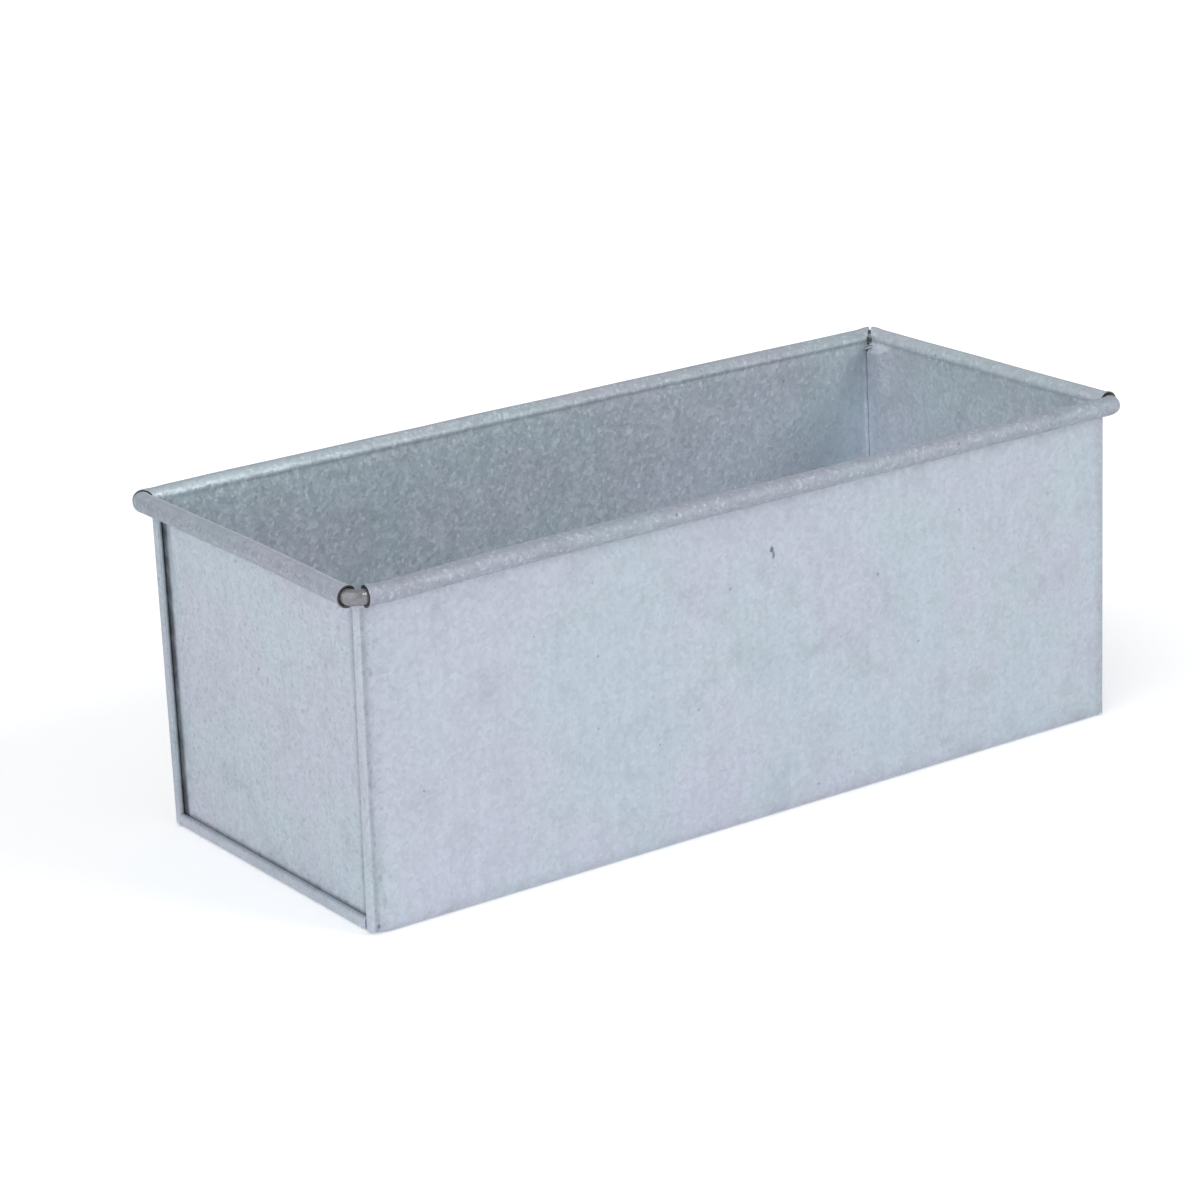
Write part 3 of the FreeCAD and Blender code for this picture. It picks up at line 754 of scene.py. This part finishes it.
def inside_light(tree, ways, spot, inside):
    """How much lighter the sheet is painted inside the pan, as painted light: all over, more low down on the
    right end and on the right half of the back wall, and most up the corner between them."""
    on_end = maths(tree, "MULTIPLY", ranged(tree, spot[0], 120 * MM, 125 * MM, 0.0, 1.0),
                   ranged(tree, ways[0], -0.9, -0.5, 1.0, 0.0))
    on_back = maths(tree, "MULTIPLY", ranged(tree, spot[1], 40 * MM, 45 * MM, 0.0, 1.0),
                    ranged(tree, ways[1], -0.9, -0.5, 1.0, 0.0))
    under_rim = ranged(tree, spot[2], 75 * MM, 89 * MM, 1.0, 0.0)
    end_low = ranged(tree, spot[2], 20 * MM, 95 * MM, 0.62, 0.11)
    end_corner = maths(tree, "MULTIPLY", under_rim, ranged(tree, spot[1], 27 * MM, 52 * MM, 0.0, 0.22))
    end_gain = maths(tree, "MULTIPLY", on_end, maths(tree, "ADD", end_low, end_corner))
    back_low = maths(tree, "MULTIPLY", ranged(tree, spot[0], -30 * MM, 60 * MM, 0.0, 1.0),
                     ranged(tree, spot[2], 30 * MM, 90 * MM, 0.20, 0.0))
    back_corner = maths(tree, "MULTIPLY", under_rim, ranged(tree, spot[0], 105 * MM, 131 * MM, 0.0, 0.55))
    back_gain = maths(tree, "MULTIPLY", on_back, maths(tree, "ADD", back_low, back_corner))
    all_over = maths(tree, "MULTIPLY", inside, INSIDE_PAINTED_LIGHT)
    return combined(tree, "ADD", end_gain, back_gain, all_over, 1.0)


def darker_to_back_and_right(tree, spot):
    """A little darker towards the back of the left end, and everywhere a little darker towards the right."""
    left_end = ranged(tree, spot[0], -130 * MM, -120 * MM, 1.0, 0.0)
    on_end = maths(tree, "MULTIPLY", left_end, ranged(tree, spot[1], -50 * MM, 55 * MM, 0.0, 0.05))
    all_over = ranged(tree, spot[0], -110 * MM, 130 * MM, 0.0, 0.025)
    return maths(tree, "SUBTRACT", 1.0, maths(tree, "ADD", on_end, all_over))


def dirt_and_shade_tone(tree, place, uneven, spot, outside):
    """Outside only: patchy dirt and painted shade along the seams, fine scratches at the left end, and the
    small marks.
    """
    patchy = ranged(tree, cloud(tree, place, 5 * MM, 3.0).outputs["Fac"], 0.35, 0.65, 0.75, 1.15)
    # Dirt and painted shade along the seams, broken into patches.
    dirt_and_shade = combined(tree, "MULTIPLY", own(tree, "seam_dirt_and_shade"), patchy, outside)
    tone = ranged(tree, dirt_and_shade, 0.0, 1.0, 1.0, 0.22)
    scratches = cloud(tree, place, 1.2 * MM, 3.0).outputs["Fac"]
    scratch = ranged(tree, scratches, 0.58, 0.66, 0.0, 0.16, smooth=True)
    left_end = ranged(tree, spot[0], -127 * MM, -116 * MM, 1.0, 0.0)
    losses = [combined(tree, "MULTIPLY", scratch, left_end, outside)]
    for centre, size, leaves in MARKS:
        from_centre = vectors(tree, "SUBTRACT", uneven, centre)
        far = vectors(tree, "MULTIPLY", from_centre, [1 / item for item in size])
        far = vectors(tree, "LENGTH", far, output=1)
        mark = ranged(tree, far, 0.55, 1.1, 1 - leaves, 0.0, smooth=True)
        losses.append(maths(tree, "MULTIPLY", mark, outside))
    kept = [maths(tree, "SUBTRACT", 1.0, loss) for loss in losses]
    return combined(tree, "MULTIPLY", tone, *kept)


def galvanised(name, lavender, cyan, roughness):
    """Hot-dip zinc: fine crystals that each catch the light their own way, cloudy tint, small scuffs;
    painted shade, highlight and glints on the curls, painted shade along the seams, and painted light
    inside.
    """
    material, tree, shader, place = new_finish(name)
    waver = cloud(tree, place, 1.6 * MM, 1.0).outputs["Color"]
    uneven = vectors(tree, "ADD", place, scaled(tree, waver, 0.7 * MM))
    crystals = add(tree, "ShaderNodeTexVoronoi", {"Vector": uneven, "Scale": 1 / CRYSTAL}).outputs["Color"]
    grains = add(tree, "ShaderNodeTexVoronoi", {"Vector": place, "Scale": 1 / GRAIN}).outputs["Color"]
    crystal_shade = add(tree, "ShaderNodeSeparateColor", {0: crystals}).outputs
    grain_shade = add(tree, "ShaderNodeSeparateColor", {0: grains}).outputs
    # Dulled zinc on the curls, with painted shade and painted highlight.
    dull = own(tree, "dulling_and_painted_light")

    facing = add(tree, "ShaderNodeNewGeometry").outputs["Normal"]
    ways = add(tree, "ShaderNodeSeparateXYZ", {0: facing}).outputs
    spot = add(tree, "ShaderNodeSeparateXYZ", {0: place}).outputs
    outward = maths(tree, "ADD", maths(tree, "MULTIPLY", ways[0], spot[0]),
                    maths(tree, "MULTIPLY", ways[1], spot[1]))
    outside = ranged(tree, outward, 0.0, 0.03, 0.0, 1.0)
    inside = ranged(tree, outward, -0.03, 0.0, 1.0, 0.0)

    tone = combined(tree, "MULTIPLY",
                    zinc_tone(tree, place, uneven, crystal_shade[0], grain_shade[1], dull),
                    inside_light(tree, ways, spot, inside),
                    darker_to_back_and_right(tree, spot),
                    dirt_and_shade_tone(tree, place, uneven, spot, outside))
    clouds = cloud(tree, place, 34 * MM, 2.5).outputs["Fac"]
    colour = blended(tree, "MIX", ranged(tree, clouds, 0.38, 0.62, 0.0, 1.0, smooth=True), lavender, cyan)
    grey = add(tree, "ShaderNodeCombineColor", {0: tone, 1: tone, 2: tone}).outputs[0]
    colour = blended(tree, "MULTIPLY", 1.0, colour, grey)
    # Painted tint inside the pan.
    colour = blended(tree, "MULTIPLY", inside, colour, INSIDE_PAINTED_TINT)
    tree.links.new(colour, shader.inputs["Base Color"])

    crystal_tilt = scaled(tree, vectors(tree, "SUBTRACT", crystals, (0.5, 0.5, 0.5)), 0.16)
    grain_tilt = scaled(tree, vectors(tree, "SUBTRACT", grains, (0.5, 0.5, 0.5)), 0.10)
    tilted = vectors(tree, "ADD", facing, vectors(tree, "ADD", crystal_tilt, grain_tilt))
    relief = {"Height": cloud(tree, place, 0.9 * MM, 3.0, 0.6).outputs["Fac"], "Strength": 0.25,
              "Distance": 0.06 * MM, "Normal": vectors(tree, "NORMALIZE", tilted)}
    tree.links.new(add(tree, "ShaderNodeBump", relief).outputs[0], shader.inputs["Normal"])
    polish = ranged(tree, crystal_shade[1], 0.0, 1.0, roughness - 0.07, roughness + 0.07)
    polish = maths(tree, "ADD", polish, ranged(tree, dull, 0.0, 0.5, 0.0, 0.28))
    tree.links.new(polish, shader.inputs["Roughness"])
    shader.inputs["Metallic"].default_value = 0.5
    return material


def cut_edge():
    """The sheet's cut edge: bare steel gone dull and brownish."""
    material, tree, shader, place = new_finish("cut_edge")
    patch = cloud(tree, place, 1.5 * MM, 4.0).outputs["Fac"]
    colour = blended(tree, "MIX", patch, (0.055, 0.05, 0.05, 1), (0.16, 0.15, 0.15, 1))
    tree.links.new(colour, shader.inputs["Base Color"])
    tree.links.new(ranged(tree, patch, 0.2, 0.8, 0.45, 0.7), shader.inputs["Roughness"])
    shader.inputs["Metallic"].default_value = 1.0
    return material


def pale_floor_finish():
    """Plain matt white with a faint glow."""
    material, tree, shader, place = new_finish("pale_floor")
    patch = cloud(tree, place, 0.4, 2.0).outputs["Fac"]
    colour = blended(tree, "MIX", patch, (0.955, 0.955, 0.955, 1), (0.975, 0.975, 0.975, 1))
    tree.links.new(colour, shader.inputs["Base Color"])
    shader.inputs["Roughness"].default_value = 0.9
    shader.inputs["Emission Color"].default_value = (1.0, 1.0, 1.0, 1)
    shader.inputs["Emission Strength"].default_value = 0.19
    return material


# ---------------------------------------------------------------- pieces

def show(name, mesh, node):
    """Put a finished mesh in the scene in place of its CAD node."""
    piece = bpy.data.objects.new(name, mesh)
    bpy.context.scene.collection.objects.link(piece)
    mesh.shade_smooth()
    mesh.set_sharp_from_angle(angle=math.radians(40))
    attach(piece, "root")
    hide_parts(node)
    return piece


def thickened(mesh, edge_finish):
    """A folded sheet given its thickness, with its cut edges just broken. The dip has closed the short cut
    edges down by the ground, so those keep the sheet's finish."""
    mesh.materials.append(edge_finish)
    piece = bpy.data.objects.new("sheet", mesh)
    bpy.context.scene.collection.objects.link(piece)
    solid = piece.modifiers.new("thickness", "SOLIDIFY")
    solid.thickness = SHEET
    solid.offset = 0.0
    solid.use_even_offset = True
    solid.material_offset_rim = 1
    edge = piece.modifiers.new("broken_edge", "BEVEL")
    edge.width = CUT_EDGE_ROUND
    edge.segments = 2
    edge.limit_method = "ANGLE"
    edge.angle_limit = math.radians(60)
    edge.harden_normals = False
    ready = piece.evaluated_get(bpy.context.evaluated_depsgraph_get())
    finished = bpy.data.meshes.new_from_object(ready)
    bpy.data.objects.remove(piece)
    for face in finished.polygons:
        if face.material_index == 1 and face.center.z < GROUND_ZONE:
            face.material_index = 0
    return finished


def folded_sheet(name, tree, section, hem, lines, straight, turn, has_sheet, finishes, ways, **tabs):
    """Cut, fold, work and thicken one sheet; finishes are the sheet's own and its cut edges'."""
    blank = cut_blank(name + "_blank", section, lines, has_sheet, **tabs)
    section_line = guide("section", [(0.0, *point) for point in section])
    hem_line = guide("hem", [(*point, 0.0) for point in hem])
    mesh = made_by(tree, blank, Section=section_line, Hem=hem_line, Straight=straight, Turn=turn,
                   Finish=finishes[0])
    bpy.data.objects.remove(section_line)
    bpy.data.objects.remove(hem_line)
    mark_wear_and_shade(mesh)
    reshape(mesh, *ways)
    return thickened(mesh, finishes[1])


def build_sheets(finishes):
    """The wrapper and both end panels."""
    tree = folding_tree()
    hem = wrapper_hem()
    stretches = [(LONG_CURL_END - CURL_WORKED, RUN_SPACING), (LONG_CURL_END, CURL_END_SPACING),
                 (STRAIGHT_WALL, MM)]
    lines = lines_across(stretches, hem)
    mesh = folded_sheet("wrapper", tree, wrapper_section(), hem, lines, STRAIGHT_WALL, 0.0,
                        wrapper_has_sheet, finishes, [curl_ends_worked, hand_worked],
                        tab_start=FLANGE_FOOT, tab_drop=FLANGE_FOOT - HEM_FOOT)
    show("wrapper", mesh, "wrapper_sheet")

    flange = panel_flange()
    stretches = [(FLOOR_SEAM_HALF - 7 * MM, RUN_SPACING), (FLOOR_SEAM_HALF, SEAM_END_SPACING),
                 (END_CURL_END, SEAM_END_SPACING), (PANEL_HALF, MM)]
    lines = lines_across(stretches, flange)
    for label, turn in (("left", math.pi / 2), ("right", -math.pi / 2)):
        mesh = folded_sheet(f"end_{label}", tree, panel_section(), flange, lines, PANEL_HALF, turn,
                            panel_has_sheet, finishes, [end_top_set_out, curl_ends_worked, hand_worked])
        show(f"end_{label}", mesh, f"end_panel_{label}")


def build_wire(finish):
    """The rim wire, its ends butted inside the curl of the +Y wall."""
    butt, length, width = WIRE_BUTT / 2, WIRE_HALF_LENGTH, WIRE_HALF_WIDTH
    corners = [(butt, width), (length, width), (length, -width),
               (-length, -width), (-length, width), (-butt, width)]
    path = guide("wire_path", [(*corner, WIRE_HEIGHT) for corner in corners])
    mesh = made_by(sweeping_tree(), path, Radius=WIRE_RADIUS, Bend=WIRE_BEND, Spacing=WIRE_SPACING,
                   Finish=finish)
    reshape(mesh, hand_worked)
    show("wire", mesh, "rim_wire")


# ---------------------------------------------------------------- stage

FLOOR_REACH = 14.0
FLOOR_DROP = 0.1 * MM
ROOM_COLOUR = (0.97, 0.985, 1.0, 1)
ROOM_LIGHT = 0.57
VIEW_ANGLES = (-34.325, 18.456, -2.483)
VIEW_PLACE = (-634.44 * MM, -906.74 * MM, 421.95 * MM)

def lay_floor():
    """A pale floor that runs well past the view."""
    mesh = bpy.data.meshes.new("floor")
    sides = [(-1, -1), (1, -1), (1, 1), (-1, 1)]
    corners = [(x * FLOOR_REACH, y * FLOOR_REACH, -FLOOR_DROP) for x, y in sides]
    mesh.from_pydata(corners, [], [(0, 1, 2, 3)])
    mesh.materials.append(pale_floor_finish())
    floor = bpy.data.objects.new("floor", mesh)
    bpy.context.scene.collection.objects.link(floor)


def add_sun(name, strength, spread, azimuth, elevation):
    """A broad soft light; spread, azimuth from the front and elevation are in degrees."""
    azimuth, elevation = math.radians(azimuth), math.radians(elevation)
    level = math.cos(elevation)
    towards = (-math.sin(azimuth) * level, math.cos(azimuth) * level, -math.sin(elevation))
    light = bpy.data.lights.new(name, "SUN")
    light.energy = strength
    light.angle = math.radians(spread)
    lamp = bpy.data.objects.new(name, light)
    lamp.rotation_euler = Vector(towards).to_track_quat("-Z", "Y").to_euler()
    bpy.context.scene.collection.objects.link(lamp)


def light_stage():
    """Even studio light: a bright room, a soft light from the front right, a very wide one from the left."""
    world = bpy.data.worlds.new("studio")
    world.use_nodes = True
    background = world.node_tree.nodes["Background"]
    background.inputs["Color"].default_value = ROOM_COLOUR
    background.inputs["Strength"].default_value = ROOM_LIGHT
    bpy.context.scene.world = world
    add_sun("key", strength=1.12, spread=25, azimuth=34, elevation=30)
    add_sun("fill", strength=1.48, spread=80, azimuth=-75, elevation=35)
    bpy.context.scene.view_settings.view_transform = "Standard"


def place_camera():
    """Above the near short end, looking down along the pan."""
    azimuth, elevation, roll = (math.radians(angle) for angle in VIEW_ANGLES)
    back = Vector((math.sin(azimuth) * math.cos(elevation), -math.cos(azimuth) * math.cos(elevation),
                   math.sin(elevation)))
    level = Vector((0, 0, 1)).cross(back).normalized()
    upright = back.cross(level)
    right = level * math.cos(roll) + upright * math.sin(roll)
    up = upright * math.cos(roll) - level * math.sin(roll)
    lens = bpy.data.cameras.new("camera")
    lens.lens = 120.47
    lens.shift_y = 0.0009
    lens.sensor_width = 36.0
    lens.clip_start = 0.01
    lens.clip_end = 60.0
    camera = bpy.data.objects.new("camera", lens)
    turned = Matrix((right, up, back)).transposed().to_4x4()
    camera.matrix_world = Matrix.Translation(VIEW_PLACE) @ turned
    bpy.context.scene.collection.objects.link(camera)
    bpy.context.scene.camera = camera


# ---------------------------------------------------------------- make it

zinc = galvanised("dipped_zinc_sheet", (0.463, 0.489, 0.568, 1), (0.443, 0.507, 0.567, 1), 0.44)
wire_zinc = galvanised("dipped_zinc_wire", (0.225, 0.23, 0.25, 1), (0.165, 0.175, 0.195, 1), 0.30)
build_sheets([zinc, cut_edge()])
build_wire(wire_zinc)
lay_floor()
light_stage()
place_camera()
